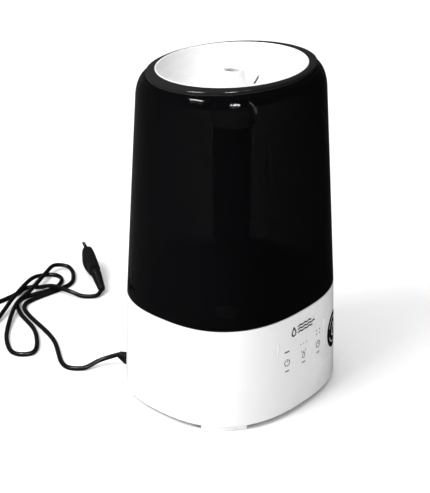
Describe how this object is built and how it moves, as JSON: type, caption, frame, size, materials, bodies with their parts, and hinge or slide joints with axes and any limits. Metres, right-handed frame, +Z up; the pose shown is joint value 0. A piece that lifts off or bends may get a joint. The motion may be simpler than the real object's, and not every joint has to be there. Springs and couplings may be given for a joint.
{
  "type": "cool mist humidifier",
  "caption": "Top-fill ultrasonic cool mist humidifier: white base with fan and water tray, smoked lift-off tank, lid with a pouring dish and mist nozzle, mains cord with plug.",
  "frame": {"origin": "centre of the base's outline on the surface it stands on, under the feet", "axes": "+Z up along the tank, -Y towards the front with the touch keys, +X to the right of a person facing the front"},
  "size_m": [0.2355, 0.4103, 0.3284],
  "materials": {
    "white_housing": "gloss white ABS",
    "white_plate": "satin white ABS",
    "foot_rubber": "soft white rubber",
    "steel_screw": "zinc plated steel",
    "tray_plastic": "gloss white ABS",
    "ceramic_disc": "silvered ceramic with a metal face",
    "silicone": "translucent silicone",
    "black_rubber": "black silicone",
    "aluminium": "turned aluminium",
    "fan_plastic": "black glass-filled plastic",
    "copper_motor": "copper windings",
    "duct_plastic": "satin white ABS",
    "circuit_green": "green solder mask",
    "circuit_blue": "blue solder mask",
    "badge_black": "gloss black",
    "shaft_steel": "ground steel",
    "float_foam": "white foamed plastic",
    "magnet": "sintered ferrite",
    "smoked_tank": "smoked translucent plastic",
    "smoked_floor": "smoked plastic",
    "valve_grey": "dark grey plastic",
    "plunger_grey": "light grey plastic",
    "spring_steel": "bright spring wire",
    "rim_black": "gloss black ABS",
    "dish_white": "gloss white ABS",
    "cord_black": "black PVC",
    "plug_black": "moulded black PVC",
    "pin_nickel": "nickel plated brass"
  },
  "bodies": {
    "base": {"base_housing": "white_housing", "bottom_plate": "white_plate", "feet": "foot_rubber", "plate_screws": "steel_screw", "water_tray": "tray_plastic", "transducer_disc": "ceramic_disc", "transducer_seal": "black_rubber", "transducer_ring": "aluminium", "transducer_screws": "steel_screw", "fan_housing": "fan_plastic", "fan_motor": "copper_motor", "air_duct": "duct_plastic", "fan_screws": "steel_screw", "driver_board": "circuit_green", "heat_sink": "aluminium", "power_board": "circuit_blue", "touch_board": "circuit_green", "round_badge": "badge_black", "float_clip": "steel_screw", "strain_relief": "cord_black", "power_cord": "cord_black", "plug_body": "plug_black", "plug_relief": "plug_black", "plug_pins": "pin_nickel"},
    "fan": {"fan_rotor": "fan_plastic", "fan_shaft": "shaft_steel"},
    "float": {"float_puck": "float_foam", "float_magnet": "magnet"},
    "tank": {"tank_shell": "smoked_tank", "tank_floor": "smoked_floor", "mist_tube": "smoked_tank", "valve_cap": "valve_grey"},
    "valve": {"valve_plunger": "plunger_grey", "valve_seal": "silicone", "valve_spring": "spring_steel"},
    "lid": {"lid_rim": "rim_black", "lid_dish": "dish_white", "lid_seal": "silicone", "lid_collar": "dish_white"},
    "nozzle": {"mist_nozzle": "dish_white"}
  },
  "joints": [
    {"name": "tank_lift", "type": "slide", "parent": "base", "child": "tank", "axis": [0, 0, 1], "range_m": [0, 0.12]},
    {"name": "lid_lift", "type": "slide", "parent": "tank", "child": "lid", "axis": [0, 0, 1], "range_m": [0, 0.08]},
    {"name": "nozzle_lift", "type": "slide", "parent": "lid", "child": "nozzle", "axis": [0, 0, 1], "range_m": [0, 0.05]},
    {"name": "valve_lift", "type": "slide", "parent": "tank", "child": "valve", "axis": [0, 0, 1], "range_m": [0, 0.003], "stiffness_N_per_m": 60, "springref_m": -0.002, "deforming": ["valve_spring"]},
    {"name": "float_rise", "type": "slide", "parent": "base", "child": "float", "axis": [0, 0, 1], "range_m": [0, 0.008]},
    {"name": "fan_spin", "type": "hinge", "parent": "base", "child": "fan", "pos_m": [-0.042, 0.038, 0.048], "axis": [0, 0, 1], "continuous": true}
  ]
}
